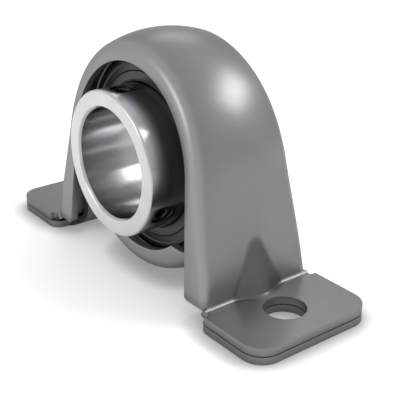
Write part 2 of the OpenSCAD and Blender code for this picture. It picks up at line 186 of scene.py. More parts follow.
def break_edges(obj, width):
    """A small bevel on every edge that turns by more than 40 degrees."""
    bevel = obj.modifiers.new("edges", "BEVEL")
    bevel.width = width
    bevel.segments = 2
    bevel.limit_method = "ANGLE"
    bevel.angle_limit = np.radians(40)
    bevel.use_clamp_overlap = True
    bake(obj)


def cut(obj, cutters):
    for cutter in cutters:
        difference = obj.modifiers.new("cut", "BOOLEAN")
        difference.operation = "DIFFERENCE"
        difference.solver = "EXACT"
        difference.object = cutter
    bake(obj)
    for cutter in cutters:
        bpy.data.objects.remove(cutter)


def mark(obj, name, value_at):
    """Gives each point of the mesh a number that its material reads."""
    marks = obj.data.attributes.new(name, "FLOAT", "POINT")
    for v, spot in zip(obj.data.vertices, marks.data):
        spot.value = float(value_at(*v.co))


def rounded(corners, steps=4):
    """A closed outline with its corners (a, b, radius) rounded off."""
    nearly_straight = 1.55                  # half the angle of a corner that needs no rounding
    out = []
    for i, (a, b, r) in enumerate(corners):
        p = np.array([a, b])
        before = np.array(corners[i - 1][:2]) - p
        after = np.array(corners[(i + 1) % len(corners)][:2]) - p
        before, after = before / np.linalg.norm(before), after / np.linalg.norm(after)
        half = np.arccos(np.clip(before @ after, -1, 1)) / 2
        if r <= 0 or half > nearly_straight:
            out.append(p)
            continue
        reach = r / np.tan(half)
        centre = p + (before + after) / np.linalg.norm(before + after) * r / np.sin(half)
        first, last = p + before * reach - centre, p + after * reach - centre
        turn = np.pi - 2 * half
        for t in np.arange(steps + 1) / steps:
            spoke = (first * np.sin((1 - t) * turn) + last * np.sin(t * turn)) / np.sin(turn)
            out.append(centre + spoke)
    return out


def lathe(name, outline):
    """Turns a closed outline of (radius, y) about the shaft axis."""
    turn = np.linspace(0, 2 * np.pi, RING_SIDES, endpoint=False)
    verts = [(r * np.cos(t), y, AXIS_Z + r * np.sin(t)) for t in turn for r, y in outline]
    return new_object(name, verts, strips(RING_SIDES, len(outline), around=True))


def post(name, start, along, profile, sides=96, wave=None):
    """A solid turned about a line that is square to Y, from (distance, radius) pairs.

    The function wave, where there is one, adds to the radius at each distance and angle."""
    start, along = Vector(start), Vector(along).normalized()
    u = Vector((0, 1, 0))
    v = along.cross(u)
    verts = []
    for d, r in profile:
        for t in np.linspace(0, 2 * np.pi, sides, endpoint=False):
            w = r + (wave(d, t) if wave else 0)
            verts.append(start + along * float(d) + u * float(w * np.cos(t)) + v * float(w * np.sin(t)))
    rows = len(profile)
    return new_object(name, verts, strips(rows, sides) + round_ends(rows, sides))


def bolt_hole(side):
    return post("bolt_hole", (side * HOLE_X, 0, -MM), (0, 0, 1), [(0, HOLE_R), (FOOT_TOP + 2 * MM, HOLE_R)])


# Upper shell: the same line of sections as the solid, drawn finer

BEND_Z = FOOT_TOP + FOOT_BEND
BEND_X = (SKIN_R + FOOT_BEND + (AXIS_Z - BEND_Z) * np.sin(LEG_SPLAY)) / np.cos(LEG_SPLAY)
LEG_LEN = ((BEND_X - SKIN_R * np.cos(LEG_SPLAY)) * np.sin(LEG_SPLAY)
           - (BEND_Z - AXIS_Z - SKIN_R * np.sin(LEG_SPLAY)) * np.cos(LEG_SPLAY))
TIP = 0.3 * MM                              # straight end of the sections round bend and foot
LEAST_ROUND = 1 * MM                        # least length along any fillet
LEAST_TURN = np.radians(1)                  # an edge that turns in by less is drawn flat
FULL_TURN = np.radians(89)
LEAST_BOW = 0.02                            # the web's least curvature, in 1/metre


def leg_x(r, z):
    """The x of a leg's face, r out from the shaft axis, at height z."""
    return (r + (AXIS_Z - z) * np.sin(LEG_SPLAY)) / np.cos(LEG_SPLAY)


def half_w(z):
    return (BASE_W + (CROWN_W - BASE_W) * z / CROWN_Z) / 2


def edge_round(z):
    return LEG_ROUND + (CROWN_ROUND - LEG_ROUND) * z / CROWN_Z


def crown_share(z):
    return smooth((z - FLAT_Z) / (BOWED_Z - FLAT_Z))


def depth_to_end(z, a):
    return (z - FOOT_TOP) / np.sin(a)


def half_section(bow, r, turn, w, end_y, end_d):
    """Points (y, depth, angle of the sheet's normal) from the middle of the web to the edge.

    The web curves by bow, the fillet of radius r turns it by turn, and w is half the width."""
    across, along = np.arange(CROWN_STEPS + 1) / CROWN_STEPS, np.arange(1, ROUND_STEPS + 1) / ROUND_STEPS
    if turn < LEAST_TURN:
        web = w - LEAST_ROUND
        pts = [(web * t, 0, 0) for t in across] + [(web + t * LEAST_ROUND, 0, 0) for t in along]
    else:
        bow_r = 1 / max(bow, LEAST_BOW)
        r = max(r, LEAST_ROUND / turn)
        centre_y = w - r * np.sin(turn)
        tilt = np.arcsin(centre_y / (bow_r - r))
        centre_d = bow_r - (bow_r - r) * np.cos(tilt)
        pts = [(bow_r * np.sin(tilt * t), bow_r * (1 - np.cos(tilt * t)), tilt * t) for t in across]
        pts += [(centre_y + r * np.sin(t), centre_d - r * np.cos(t), t) for t in tilt + (turn - tilt) * along]
    return pts + [(end_y, end_d, turn)]


def edged(x, z, a, full_d):
    """A section of arch or leg, its edge turned in by full_d or as far as the top of the foot."""
    d = min(full_d, depth_to_end(z, a))
    r = edge_round(z)
    return (x, z, a, half_section(crown_share(z) / SKIN_R, r, np.pi / 2,
                                  half_w(z - r * np.sin(a)), half_w(z - d * np.sin(a)), d))


def arch_station(a):
    return edged(SKIN_R * np.cos(a), AXIS_Z + SKIN_R * np.sin(a), a, SKIN_R - OPENING_R)


def leg_station(u):
    lean = LEG_SPLAY - EDGE_SPLAY
    return edged(SKIN_R * np.cos(LEG_SPLAY) + u * np.sin(LEG_SPLAY),
                 AXIS_Z + SKIN_R * np.sin(LEG_SPLAY) - u * np.cos(LEG_SPLAY), LEG_SPLAY,
                 SKIN_R + u * np.tan(lean) - OPENING_R / np.cos(lean))


def bend_station(k):
    a = LEG_SPLAY + (np.pi / 2 - LEG_SPLAY) * k
    x, z = BEND_X - FOOT_BEND * np.cos(a), BEND_Z - FOOT_BEND * np.sin(a)
    d = depth_to_end(z, a) * (1 - k)
    turn = np.arccos(np.clip(1 - (d - TIP) / LEG_ROUND, 0, 1))
    w = half_w(z) + (NECK_W / 2 - TIP - half_w(z)) * k
    if turn > FULL_TURN:
        return (x, z, a, half_section(0, LEG_ROUND, np.pi / 2, w, w, d))
    r = max(LEG_ROUND, LEAST_ROUND / turn) if turn > LEAST_TURN else 0
    return (x, z, a, half_section(0, LEG_ROUND, turn, w, w + TIP * np.cos(turn),
                                  r * (1 - np.cos(turn)) + TIP * np.sin(turn)))


def foot_station(x, w):
    return (x, FOOT_TOP, np.pi / 2, half_section(0, 0, 0, w - TIP, w, 0))


# Each dart's face leans from DART_TOP on the leg to DART_REACH out on the foot, and DART_N is its
# normal in X and Z. Along that normal, DART_FACE is where the face lies in the middle of the dart,
# and DART_CORNER is where it has sunk to at the dart's two sides, in the bend.
DART_FOOT_X = leg_x(SKIN_R, FOOT_TOP) + DART_REACH
DART_RISE = np.array([leg_x(SKIN_R, DART_TOP) - DART_FOOT_X, DART_TOP - FOOT_TOP])
DART_N = np.array([DART_RISE[1], -DART_RISE[0]]) / np.linalg.norm(DART_RISE)
DART_CORNER = DART_N @ np.array([leg_x(SKIN_R, FOOT_TOP), FOOT_TOP])
DART_FACE = DART_N @ np.array([DART_FOOT_X, FOOT_TOP])


def dart_share(y):
    return np.cos(np.pi / 2 * y / DART_HALF_W) ** 2


def dart_gap(x, y, z):
    """How far the dart's face stands outside a point of the right leg or foot."""
    return DART_CORNER + (DART_FACE - DART_CORNER) * dart_share(y) - DART_N @ np.array([x, z])


def darted(x, y, z, below):
    """The point pushed out to the dart's face, or to the sheet's thickness below it."""
    if abs(y) >= DART_HALF_W or z > DART_TOP + 2 * MM:
        return x, y, z
    gap = dart_gap(x, y, z) - below
    run_out = 1 - smooth((z + below - FOOT_TOP) / (4 * MM))
    soft = DART_LEAST_BLEND + DART_BLEND * dart_share(y) * run_out
    if gap < -soft:
        return x, y, z
    push = gap if gap > soft else (gap + soft) ** 2 / (4 * soft)
    return x + push * DART_N[0], y, z + push * DART_N[1]


def right_half():
    """The sections from the end of the right foot to the top of the crown.

    The powers draw the sections closer together towards the top of bend and leg."""
    corner_x = FOOT_END - FOOT_CORNER
    widen_x = BEND_X + RELIEF_R + RELIEF_LAND
    notch_end = 0.12                        # the notch stops this angle short of the bend
    path = [foot_station(corner_x + FOOT_CORNER * np.sin(t), FOOT_HALF_W - FOOT_CORNER * (1 - np.cos(t)))
            for t in np.linspace(np.pi / 2, 0, CORNER_STEPS)]
    path += [foot_station(x, FOOT_HALF_W) for x in np.linspace(corner_x, widen_x, FOOT_STEPS)[1:]]
    path += [foot_station(BEND_X + RELIEF_R * np.sin(t), NECK_W / 2 + RELIEF_R * (1 - np.cos(t)))
             for t in np.linspace(np.pi / 2, notch_end, NOTCH_STEPS)]
    path += [bend_station(k) for k in np.linspace(1, 0, BEND_STEPS)[:-1] ** 1.4]
    path += [leg_station(u) for u in LEG_LEN * np.linspace(1, 0, LEG_STEPS)[:-1] ** 1.2]
    return path + [arch_station(a) for a in np.linspace(LEG_SPLAY, np.pi / 2, ARCH_STEPS)]


def upper_shell():
    path = right_half()
    left_half = [(-x, z, np.pi - a, half) for x, z, a, half in path[-2::-1]]
    rings = []
    for x, z, a, half in path + left_half:
        outer = [(y, d, 0) for y, d, t in half]
        inner = [(y - SHEET * np.sin(t), d + SHEET * np.cos(t), SHEET) for y, d, t in half]
        ring = []
        for y, d, below in both_halves(outer, inner):
            px, pz = x - d * np.cos(a), z - d * np.sin(a)
            side = 1 if px > 0 else -1
            qx, qy, qz = darted(side * px, y, pz, below)
            ring.append((side * qx, qy, qz))
        rings.append(ring)
    rows, n = len(rings), len(rings[0])
    verts = [p for ring in rings for p in ring]
    obj = new_object("pressed_arch", verts, strips(rows, n) + sheet_ends(rows, n))
    cut(obj, [bolt_hole(-1), bolt_hole(1)])
    break_edges(obj, UPPER_BREAK)
    shade(obj, 30)
    # Mask of the painted shade on the darts.
    mark(obj, "painted_dart_shade", dart_shade_share)
    # Mask of the painted reflection that lightens the turned-in edges.
    mark(obj, "painted_edge_light", edge_light_share)
    return obj


def dart_shade_share(x, y, z):
    """1 on the darts, fading to 0 round them: where the plating's colour is darkened as painted shade, more
    at the rear.
    """
    fade = 0.7 * MM + 1.3 * MM * smooth(1 - (z - FOOT_TOP) / (1.5 * MM))
    on_face = smooth(1 + dart_gap(abs(x), y, z) / fade)
    in_width = smooth((DART_HALF_W - abs(y)) / (1.5 * MM))
    in_height = smooth((DART_TOP + 2.5 * MM - z) / (1.5 * MM))
    darker_rear = 0.75 + 0.25 * smooth((y + 2 * MM) / (5 * MM))
    return on_face * in_width * in_height * darker_rear


def edge_light_share(x, y, z):
    """1 past the fillets and 0 on the web and the feet: where the edges are lightened as a painted
    reflection.
    """
    past_fillet = (abs(y) - half_w(z) + 0.85 * edge_round(z)) / (0.6 * edge_round(z))
    return smooth(past_fillet) * smooth((z - BEND_Z) / (2 * MM))


# Lower shell: one strap of sheet on each side and the cradle that both of them carry


def sweep(x, z, r, start, end, steps=SWEEP_STEPS):
    return [(x + r * np.cos(t), z + r * np.sin(t)) for t in np.linspace(start, end, steps)]


def strap(side):
    """Foot, wall and fold of the lower shell on one side, ending inside the cradle's sheet."""
    wall_r = SEAT_R - NEST_GAP
    wall_z = SHEET + WALL_BEND
    wall_x = leg_x(wall_r + WALL_BEND, wall_z)
    out = wall_r - SHEET - FOLD_R
    down = np.sqrt((SKIN_R + FOLD_R) ** 2 - out ** 2)
    fold_x = out * np.cos(LEG_SPLAY) + down * np.sin(LEG_SPLAY)
    fold_z = AXIS_Z + out * np.sin(LEG_SPLAY) - down * np.cos(LEG_SPLAY)
    fold_a = np.arctan((AXIS_Z - fold_z) / fold_x)
    corner_x = FOOT_END - FOOT_CORNER
    flat = [FOOT_END - FOOT_CORNER * (1 - np.cos(t)) for t in np.linspace(0, np.pi / 2, STRAP_CORNER_STEPS)]
    flat += list(np.linspace(corner_x, wall_x + NARROW_R, STRAP_FLAT_STEPS)[1:])
    flat += [wall_x + NARROW_R * (1 - np.sin(t)) for t in np.linspace(0, np.pi / 2, NARROW_STEPS)[1:-1]]
    bend = (1.5 * np.pi, np.pi + LEG_SPLAY)
    fold = (LEG_SPLAY, np.pi - fold_a, FOLD_STEPS)
    tail = (-fold_a, -fold_a - TAIL_TURN)
    upper = ([(x, SHEET - SEAM_RELIEF) for x in flat] + sweep(wall_x, wall_z, WALL_BEND, *bend)
             + sweep(fold_x, fold_z, FOLD_R + SHEET, *fold) + sweep(0, AXIS_Z, TAIL_R[0], *tail))
    lower = ([(x, 0) for x in flat] + sweep(wall_x, wall_z, WALL_BEND + SHEET, *bend)
             + sweep(fold_x, fold_z, FOLD_R, *fold) + sweep(0, AXIS_Z, TAIL_R[1], *tail))

    def arc_height(radius, distance):
        """Height of a round corner's edge, this far along from its centre."""
        return np.sqrt(max(0, radius ** 2 - max(0, distance) ** 2))

    def half_width(x, z):
        if abs(x) > corner_x:
            return FOOT_HALF_W - FOOT_CORNER + arc_height(FOOT_CORNER, abs(x) - corner_x)
        if abs(x) > wall_x:
            return FOOT_HALF_W - NARROW_R + arc_height(NARROW_R, wall_x + NARROW_R - abs(x))
        return WALL_W / 2 + WALL_FLARE - arc_height(WALL_FLARE, WALL_FLARE - z)

    def fine(points):
        """More points up the straight wall, where the strap narrows."""
        i = len(flat) + SWEEP_STEPS - 1
        a, b = np.array(points[i]), np.array(points[i + 1])
        added = [tuple(a + (b - a) * t) for t in np.linspace(0, 1, WALL_STEPS)[1:-1]]
        return points[:i + 1] + added + points[i + 1:]

    loop = [(side * x, z) for x, z in fine(upper) + fine(lower)[::-1]]
    verts = [(x, edge * half_width(x, z), z) for edge in (-1, 1) for x, z in loop]
    faces = strips(2, len(loop)) + sheet_ends(2, len(loop))
    obj = new_object("lower_strap_" + ("right" if side > 0 else "left"), verts, faces)
    cut(obj, [bolt_hole(side)])
    break_edges(obj, LOWER_BREAK)
    shade(obj, 30)
    return obj


def cradle():
    half = half_section(1 / SKIN_R, CROWN_ROUND, np.pi / 2, CRADLE_W / 2, CRADLE_W / 2,
                        SKIN_R - CRADLE_OPENING_R)
    outer = [(y, SKIN_R - d) for y, d, t in half]
    inner = [(y - SHEET * np.sin(t), SKIN_R - d - SHEET * np.cos(t)) for y, d, t in half]
    loop = both_halves(outer, inner)
    turn = np.radians(np.linspace(-150, -30, CRADLE_STEPS))
    verts = [(r * np.cos(t), y, AXIS_Z + r * np.sin(t)) for t in turn for y, r in loop]
    rows, n = len(turn), len(loop)
    obj = new_object("cradle", verts, strips(rows, n) + sheet_ends(rows, n))
    s = 40 * MM
    square = [(-s, -s), (s, -s), (s, s), (-s, s)]
    above = new_object("above", [(x, y, z) for z in (CRADLE_TOP, 2 * s) for x, y in square],
                       strips(2, 4) + round_ends(2, 4))
    cut(obj, [above])
    break_edges(obj, LOWER_BREAK)
    shade(obj, 30)
    # Mask of the painted reflection that lightens the cradle's edges.
    mark(obj, "painted_edge_light", lambda x, y, z: smooth((abs(y) - CRADLE_PAINTED_LIGHT_Y) / (2 * MM)))
    return obj


# Bearing: rings, seals and set screws


def groove(at, start, end):
    """Outline of a raceway: an arc about a point at this radius from the shaft axis."""
    turn = np.linspace(start, end, GROOVE_STEPS)
    return [(at + GROOVE_R * np.cos(t), GROOVE_R * np.sin(t), 0) for t in turn]


def screw_line(name, r):
    """A point on a screw's centre line, r from the shaft axis, and the line's direction."""
    a = np.radians(SCREW_ANGLES[name])
    along = Vector((np.cos(a), 0, np.sin(a)))
    return Vector((0, SCREW_Y, AXIS_Z)) + along * r, along


def screw_hole(name):
    start_r = 10 * MM
    start, along = screw_line(name, start_r)
    surface, wide_r = LAND_R - start_r, SCREW_R + HOLE_MOUTH
    return post("screw_hole", start, along, [(0, SCREW_R), (surface - 0.12 * MM, SCREW_R),
                                             (surface + 0.03 * MM, wide_r), (surface + 3 * MM, wide_r)])


def in_screw_hole(x, y, z):
    r = np.hypot(x, z - AXIS_Z)
    return BORE_R + 0.3 * MM < r < LAND_R + 0.01 * MM and abs(y - SCREW_Y) < SCREW_R + 0.3 * MM


def inner_ring():
    at = PITCH_R - BALL_R - BALL_GAP + GROOVE_R
    open_a = np.arccos((at - LAND_R) / GROOVE_R)
    edge_r = 0.15 * MM
    outline = [(BORE_R + BORE_CHAMFER, RING_FRONT, edge_r), (LAND_R - FRONT_RIM, RING_FRONT, 0.3 * MM),
               (LAND_R, RING_FRONT + FRONT_RIM, 0.3 * MM)]
    outline += groove(at, np.pi + open_a, np.pi - open_a)
    outline += [(LAND_R, RING_REAR - REAR_RIM, 0.25 * MM), (LAND_R - REAR_RIM, RING_REAR, 0.25 * MM),
                (BORE_R + BORE_CHAMFER, RING_REAR, edge_r), (BORE_R, RING_REAR - BORE_CHAMFER, edge_r),
                (BORE_R, RING_FRONT + BORE_CHAMFER, edge_r)]
    obj = lathe("inner_ring_turned", rounded(outline))
    cut(obj, [screw_hole(name) for name in SCREW_ANGLES])
    shade(obj, 28)
    # Marks the screw holes' walls, which the material darkens as painted shade.
    mark(obj, "screw_hole_wall", in_screw_hole)
    return obj


def outer_ring():
    at = PITCH_R + BALL_R + BALL_GAP - GROOVE_R
    open_a = np.arccos((OUTER_LAND_R - at) / GROOVE_R)
    tilt = np.arcsin((OUTER_HALF_W - OUTER_RIM) / OUTER_R)
    rim = OUTER_R * np.cos(tilt) - RIM_FLAT
    seal_y, edge_r, mouth, mouth_r = OUTER_HALF_W - SEAL_DEPTH, 0.1 * MM, 0.2 * MM, 0.12 * MM
    front_seat = [(OUTER_LAND_R, -seal_y, edge_r), (SEAL_SEAT_R, -seal_y, edge_r),
                  (SEAL_SEAT_R, -OUTER_HALF_W + 0.3 * MM, edge_r),
                  (SEAL_SEAT_R + mouth, -OUTER_HALF_W, mouth_r)]
    rear_seat = [(r, -y, corner_r) for r, y, corner_r in front_seat[::-1]]
    outline = [(rim, -OUTER_HALF_W, 0.2 * MM)]
    outline += [(OUTER_R * np.cos(t), OUTER_R * np.sin(t), 0) for t in np.linspace(-tilt, tilt, OUTER_STEPS)]
    outline += [(rim, OUTER_HALF_W, 0.2 * MM)] + rear_seat + groove(at, open_a, -open_a) + front_seat
    obj = lathe("outer_ring_ground", rounded(outline))
    shade(obj, 28)
    return obj


def sealing(name, side, outline):
    """A ring at the rear from its outline, or its mirror image at the front."""
    s = -1 if side == "front" else 1
    obj = lathe(name, [(r, s * y) for r, y in rounded(outline, 5)])
    shade(obj, 40)
    return obj


def seal_plate(side):
    """Stamped plate: a lip round the bore, a rolled groove, and a rim crimped into the ring."""
    top, under = OUTER_HALF_W, OUTER_HALF_W - PLATE_T
    inner, seat = LAND_R + LIP_WALL + PLATE_GAP, SEAL_SEAT_R - PLATE_GAP
    crimp, soft = 0.3 * MM, 0.25 * MM
    outline = [(inner, under + 0.05 * MM, 0.1 * MM), (inner + 2.1 * MM, under + 0.05 * MM, 0.3 * MM),
               (seat - 1.2 * MM, under, 0.2 * MM), (seat - 0.8 * MM, under - crimp, 0.2 * MM),
               (seat, under - crimp, 0.1 * MM), (seat, top - crimp, 0.28 * MM),
               (seat - 0.95 * MM, top - crimp, 0.2 * MM), (seat - 1.3 * MM, top, soft),
               (seat - 2.25 * MM, top, soft), (seat - 2.55 * MM, top - GROOVE_DEPTH, soft),
               (inner + 2.5 * MM, top - GROOVE_DEPTH, soft), (inner + 2.2 * MM, top, soft),
               (inner, top, 0.15 * MM)]
    return sealing(f"seal_plate_{side}_stamped", side, outline)


def seal_lip(side):
    """Rubber ring behind the plate, with a wall inside the plate and a lip on the inner ring."""
    touch, out = LAND_R + LIP_GAP, OUTER_LAND_R - 0.6 * MM
    wall, top, under = LAND_R + LIP_WALL, OUTER_HALF_W - LIP_SINK, OUTER_HALF_W - PLATE_T
    back = under - 0.5 * MM
    outline = [(touch, back, 0.1 * MM), (touch + 0.35 * MM, under - 0.8 * MM, 0.2 * MM),
               (touch + 1.4 * MM, back, 0.3 * MM), (out, back, 0.2 * MM), (out, under, 0.1 * MM),
               (wall, under, 0), (wall, top, 0.15 * MM), (touch + 0.35 * MM, top, 0.2 * MM),
               (touch + 0.12 * MM, top - 0.4 * MM, 0.1 * MM)]
    return sealing(f"seal_lip_{side}_moulded", side, outline)


def set_screw(name):
    """Set screw: threaded body with a fine pitch, cup point and hexagon socket."""
    start, along = screw_line(name, BORE_R + SCREW_LIFT)
    body, end = SCREW_R - THREAD_GAP, SCREW_LEN

    def thread(d, t):
        runs_in, runs_out = max(0, (d - 0.7 * MM) / (0.4 * MM)), max(0, (end - 0.35 * MM - d) / (0.3 * MM))
        phase = (d / THREAD_PITCH - t / (2 * np.pi)) % 1
        return -THREAD_DEPTH * min(1, runs_in, runs_out) * abs(2 * phase - 1)

    rows = [(0, 0.9 * MM), (0, 1.5 * MM), (0.12 * MM, 1.75 * MM), (0.8 * MM, body - 0.1 * MM)]
    rows += [(d, body) for d in np.linspace(0.9 * MM, end - 0.36 * MM, THREAD_STEPS)]
    rows += [(end - 0.06 * MM, body - 0.3 * MM), (end, body - 0.42 * MM)]
    obj = post(name + "_threaded", start, along, rows, 72, thread)
    hexagon = SOCKET_FLATS / 2 / np.cos(np.pi / 6)
    wide = hexagon + 0.22 * MM
    socket = post("socket", start, along, [(end - SOCKET_DEPTH, hexagon), (end + MM, hexagon)], 6)
    mouth = post("mouth", start, along,
                 [(end - 0.28 * MM, hexagon * 0.9), (end + 0.1 * MM, wide), (end + MM, wide)], 48)
    cup = post("cup", start, along, [(-0.5 * MM, 1.5 * MM), (0, 1.3 * MM), (0.55 * MM, 0.15 * MM)], 48)
    cut(obj, [socket, mouth, cup])
    shade(obj, 32)
    return obj


# Node helpers. In each, m is a material or the world


def node(m, kind, **inputs):
    n = m.node_tree.nodes.new(kind)
    for key, value in inputs.items():
        n.inputs[key.replace("_", " ")].default_value = value
    return n


def link(m, a, b):
    m.node_tree.links.new(a, b)


def grey(level):
    return (level, level, level)


def times(colour, share):
    return tuple(c * share for c in colour)


def ramp(m, source, spots):
    r = m.node_tree.nodes.new("ShaderNodeValToRGB")
    while len(r.color_ramp.elements) < len(spots):
        r.color_ramp.elements.new(0.5)
    for e, (at, colour) in zip(r.color_ramp.elements, spots):
        e.position = at
        e.color = (*colour, 1)
    link(m, source, r.inputs["Fac"])
    return r.outputs["Color"]


def combined(m, operation, *values):
    """The named operation on two values, each a number or another node's output."""
    n = node(m, "ShaderNodeMath")
    n.operation = operation
    for socket, value in zip(n.inputs, values):
        if isinstance(value, float):
            socket.default_value = value
        else:
            link(m, value, socket)
    return n.outputs[0]


def mixed(m, factor, a, b):
    """Colour a where the factor is 0 and b where it is 1, each a colour or another node's output."""
    n = node(m, "ShaderNodeMix")
    n.data_type = "RGBA"
    link(m, factor, n.inputs["Factor"])
    for socket, value in (("A", a), ("B", b)):
        target = [i for i in n.inputs if i.name == socket and i.type == "RGBA"][0]
        if isinstance(value, tuple):
            target.default_value = (*value, 1)
        else:
            link(m, value, target)
    return [o for o in n.outputs if o.type == "RGBA"][0]


def between(m, source, start, end):
    """0 where the source is at start, and 1 where it is at end."""
    n = node(m, "ShaderNodeMapRange", From_Min=start, From_Max=end)
    link(m, source, n.inputs["Value"])
    return n.outputs["Result"]


def marked(m, name):
    n = node(m, "ShaderNodeAttribute")
    n.attribute_name = name
    return n.outputs["Fac"]


def noise(m, place, scale, detail):
    n = node(m, "ShaderNodeTexNoise", Scale=scale, Detail=detail)
    link(m, place, n.inputs["Vector"])
    return n.outputs["Fac"]


def openness(m, reach, samples):
    """1 in the open, and less the deeper a spot lies in a gap or corner."""
    hollow = node(m, "ShaderNodeAmbientOcclusion", Distance=reach)
    hollow.samples = samples
    return hollow.outputs["AO"]


def corners(m, reach, dark_at, clear_at):
    return ramp(m, openness(m, reach, 8), [(dark_at, grey(0)), (clear_at, grey(1))])


def seen_by(m, *rays):
    """1 for the named kinds of ray, and 0 for the others."""
    path = node(m, "ShaderNodeLightPath")
    seen = path.outputs[rays[0]]
    for ray in rays[1:]:
        seen = combined(m, "MAXIMUM", seen, path.outputs[ray])
    return seen


# Materials


def material(name, **values):
    """A new material and its shader, with these numbers on the shader's own sockets."""
    m = bpy.data.materials.new(name)
    m.use_nodes = True
    shader = m.node_tree.nodes["Principled BSDF"]
    for key, value in values.items():
        shader.inputs[key.replace("_", " ")].default_value = value
    return m, shader


def bumped(m, *bumps):
    """Adds bumps one after another: (height, strength, distance)."""
    last = None
    for height, strength, distance in bumps:
        b = node(m, "ShaderNodeBump", Strength=strength, Distance=distance)
        link(m, height, b.inputs["Height"])
        if last:
            link(m, last, b.inputs["Normal"])
        last = b.outputs["Normal"]
    link(m, last, m.node_tree.nodes["Principled BSDF"].inputs["Normal"])


PLATING_DARK, PLATING_LIGHT = (0.182, 0.185, 0.185), (0.202, 0.206, 0.208)
# Painted shade on the darts and a painted reflection on the edges, mixed into the plating's colour.
PAINTED_LIGHT_MARKS = {"painted_dart_shade": (0.065, 0.068, 0.068), "painted_edge_light": (0.27, 0.273, 0.272)}
PAINTED_SHADE_IN_GAPS = (0.03, 0.03, 0.032)


def zinc():
    m, shader = material("zinc_plated_sheet", Metallic=0.72, Specular_Tint=(0.5, 0.5, 0.5, 1))
    place = node(m, "ShaderNodeTexCoord").outputs["Object"]
    cloud = noise(m, place, 55.0, 4.0)
    grain = noise(m, place, 2600.0, 3.0)
    waves = noise(m, place, 160.0, 1.0)
    plating = ramp(m, cloud, [(0.3, PLATING_DARK), (0.7, PLATING_LIGHT)])
    for name, tone in PAINTED_LIGHT_MARKS.items():
        plating = mixed(m, marked(m, name), plating, tone)
    # Painted shade: the plating turns near black in gaps, in the seam and in tight corners.
    plating = mixed(m, corners(m, 2 * MM, 0.02, 0.4), PAINTED_SHADE_IN_GAPS, plating)
    link(m, plating, shader.inputs["Base Color"])
    link(m, ramp(m, grain, [(0.2, grey(0.31)), (0.8, grey(0.39))]), shader.inputs["Roughness"])
    bumped(m, (waves, 0.12, 0.2 * MM), (grain, 0.12, 0.02 * MM))
    return m


def turned_steel(name, base, roughness, lines, grooves=0.08):
    """Steel with fine marks that run round the shaft axis; its colour is darkened as painted shade in the
    bore, from the outer face of the inner ring outwards, in the screw holes and in corners.
    """
    m, shader = material(name, Metallic=1.0, Anisotropic=0.75, Anisotropic_Rotation=0.25)
    place = node(m, "ShaderNodeTexCoord").outputs["Object"]
    split = node(m, "ShaderNodeSeparateXYZ")
    link(m, place, split.inputs[0])
    from_axis = node(m, "ShaderNodeCombineXYZ")
    link(m, split.outputs["X"], from_axis.inputs["X"])
    link(m, combined(m, "SUBTRACT", split.outputs["Z"], AXIS_Z), from_axis.inputs["Z"])
    length = node(m, "ShaderNodeVectorMath")
    length.operation = "LENGTH"
    link(m, from_axis.outputs[0], length.inputs[0])
    radius = length.outputs["Value"]
    tracks = node(m, "ShaderNodeCombineXYZ")
    link(m, radius, tracks.inputs["X"])
    link(m, split.outputs["Y"], tracks.inputs["Y"])
    marks = noise(m, tracks.outputs[0], lines, 5.0)
    stain = noise(m, place, 90.0, 3.0)
    tone = ramp(m, stain, [(0.3, times(base, 0.94)), (0.7, times(base, 1.04))])
    gloss = ramp(m, marks, [(0.3, grey(roughness * 0.85)), (0.75, grey(roughness * 1.2))])
    # Painted shade: the bore's colour is darker than the rest of the ring.
    in_bore = between(m, radius, BORE_R + 0.7 * MM, BORE_R + 0.3 * MM)
    tone = mixed(m, in_bore, tone, times(base, 0.65))
    gloss = mixed(m, in_bore, gloss, grey(roughness * 0.85))
    # Painted shade: the colour is darker from the inner ring's outer face outwards.
    tone = mixed(m, between(m, radius, LAND_R - 0.45 * MM, LAND_R - 0.05 * MM), tone, times(base, 0.7))
    # Painted shade on the screw holes' walls.
    tone = mixed(m, marked(m, "screw_hole_wall"), tone, times(base, 0.12))
    # Painted shade: the colour darkens in gaps and corners.
    tone = mixed(m, corners(m, 4 * MM, 0.1, 0.4), times(base, 0.2), tone)
    link(m, tone, shader.inputs["Base Color"])
    link(m, gloss, shader.inputs["Roughness"])
    round_axis = node(m, "ShaderNodeTangent")
    round_axis.direction_type = "RADIAL"
    round_axis.axis = "Y"
    link(m, round_axis.outputs[0], shader.inputs["Tangent"])
    bumped(m, (marks, grooves, 0.01 * MM))
    return m


def speckled(name, dark, light, metallic, roughness, scale, height):
    """A surface with a fine grain in its colour, gloss and height."""
    m, shader = material(name, Metallic=metallic)
    place = node(m, "ShaderNodeTexCoord").outputs["Object"]
    grain = noise(m, place, scale, 4.0)
    cloud = noise(m, place, scale / 12, 2.0)
    gloss = ramp(m, grain, [(0.3, grey(roughness * 0.85)), (0.7, grey(roughness * 1.2))])
    link(m, ramp(m, cloud, [(0.3, dark), (0.7, light)]), shader.inputs["Base Color"])
    link(m, gloss, shader.inputs["Roughness"])
    bumped(m, (grain, 0.2, height))
    return m


ZINC = zinc()
POLISHED = turned_steel("polished_bearing_steel", (0.57, 0.58, 0.59), 0.22, 2200.0)
